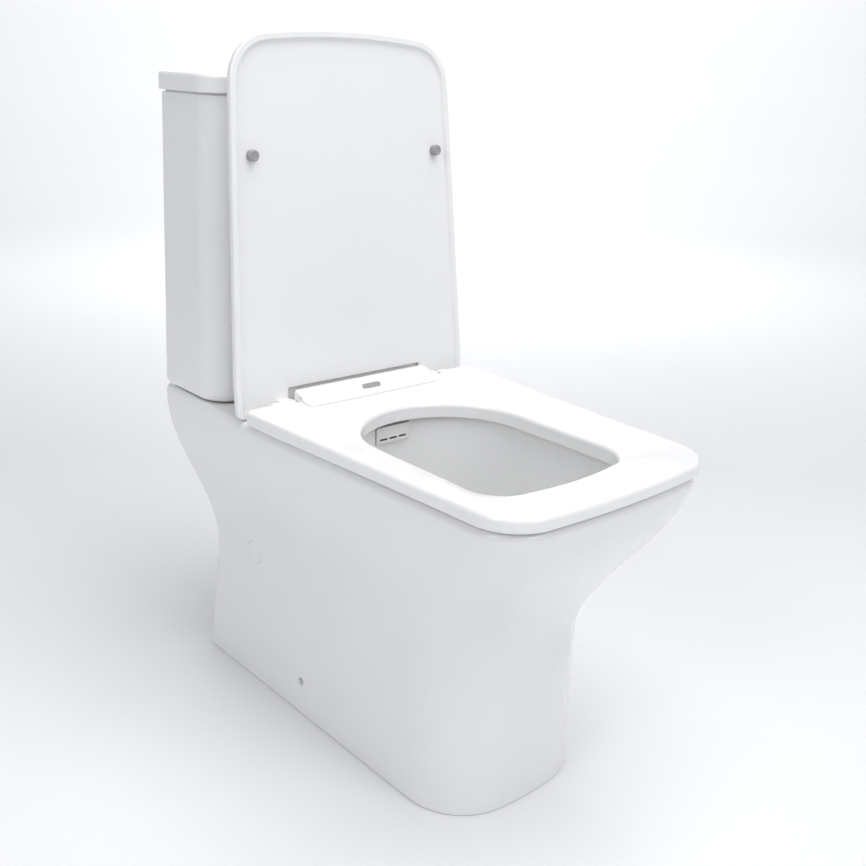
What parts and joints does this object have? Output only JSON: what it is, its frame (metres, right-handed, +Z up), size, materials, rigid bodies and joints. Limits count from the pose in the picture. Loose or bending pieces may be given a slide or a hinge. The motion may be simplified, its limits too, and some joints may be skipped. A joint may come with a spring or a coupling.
{
  "type": "close coupled toilet",
  "caption": "Back-to-wall close coupled toilet with a smooth shrouded rimless pan, a cistern with a push button, and a slim seat and lid on soft-close hinges.",
  "frame": {"origin": "on the floor, under the middle of the object's box", "axes": "+Z up, +Y towards the wall, +X to the right as seen from the front"},
  "size_m": [0.359, 0.648, 0.8565],
  "materials": {
    "white_china": "gloss",
    "seat_plastic": "gloss",
    "white_plastic": "satin",
    "grey_plastic": "satin",
    "blue_plastic": "satin",
    "chrome": "polished",
    "steel": "satin",
    "grey_rubber": "matte",
    "dark_rubber": "matte"
  },
  "bodies": {
    "fixed": {"pan": "white_china", "tank": "white_china", "hinge_post_left": "seat_plastic", "hinge_post_right": "seat_plastic", "hinge_pin_left": "steel", "hinge_pin_right": "steel", "damper_right": "grey_plastic", "hinge_bolts": "steel", "hinge_washers": "dark_rubber", "hinge_wing_nuts": "white_plastic", "flush_valve_body": "white_plastic", "flush_valve_gasket": "dark_rubber", "flush_valve_nut": "white_plastic", "tank_doughnut": "dark_rubber", "tank_pads": "dark_rubber", "fill_valve_body": "white_plastic", "fill_valve_cap": "blue_plastic", "fill_valve_gasket": "dark_rubber", "fill_valve_nut": "white_plastic", "coupling_bolts": "steel", "coupling_washers": "dark_rubber", "coupling_wing_nuts": "steel", "cover_cap_left": "seat_plastic", "cover_cap_right": "seat_plastic", "floor_bracket_left": "grey_plastic", "floor_bracket_right": "grey_plastic", "side_screws": "chrome", "flush_spreader": "white_plastic"},
    "lid": {"seat_lid": "seat_plastic", "lid_buffers": "grey_rubber"},
    "ring": {"seat_ring": "seat_plastic", "ring_buffers": "grey_rubber", "badge_plate": "chrome", "damper_left": "grey_plastic"},
    "cover": {"tank_cover": "white_china", "button_bezel": "chrome", "button_nut": "white_plastic"},
    "full_button": {"button_full": "chrome", "push_rod_full": "grey_plastic"},
    "half_button": {"button_half": "chrome", "push_rod_half": "grey_plastic"},
    "flush_set": {"flush_tube": "grey_plastic", "flush_seal": "blue_plastic", "flush_float": "grey_plastic"},
    "float_set": {"float_cup": "grey_plastic", "float_link": "steel"},
    "arm": {"float_arm": "white_plastic"}
  },
  "joints": [
    {"name": "lid_hinge", "type": "hinge", "parent": "fixed", "child": "lid", "pos_m": [0, 0.113, 0.422], "axis": [-1, 0, 0], "range_deg": [-94.6, 0]},
    {"name": "ring_hinge", "type": "hinge", "parent": "fixed", "child": "ring", "pos_m": [0, 0.113, 0.422], "axis": [-1, 0, 0], "range_deg": [0, 94]},
    {"name": "cover_lift", "type": "slide", "parent": "fixed", "child": "cover", "axis": [0, 0, 1], "range_m": [0, 0.12]},
    {"name": "full_button_press", "type": "slide", "parent": "cover", "child": "full_button", "axis": [0, 0, -1], "range_m": [0, 0.005], "stiffness_N_per_m": 300, "springref_m": -0.004},
    {"name": "half_button_press", "type": "slide", "parent": "cover", "child": "half_button", "axis": [0, 0, -1], "range_m": [0, 0.005], "stiffness_N_per_m": 300, "springref_m": -0.004},
    {"name": "flush_tube_lift", "type": "slide", "parent": "fixed", "child": "flush_set", "axis": [0, 0, 1], "range_m": [0, 0.03]},
    {"name": "float_rise", "type": "slide", "parent": "fixed", "child": "float_set", "axis": [0, 0, 1], "range_m": [0, 0.01]},
    {"name": "float_arm_pivot", "type": "hinge", "parent": "fixed", "child": "arm", "pos_m": [0.096, 0.255, 0.6735], "axis": [0, -1, 0], "range_deg": [0, 12.6]}
  ],
  "couplings": [
    {"joint": "full_button_press", "follows": "flush_tube_lift", "ratio": 0.166},
    {"joint": "float_arm_pivot", "follows": "float_rise", "rad_per_m": 21.74}
  ]
}
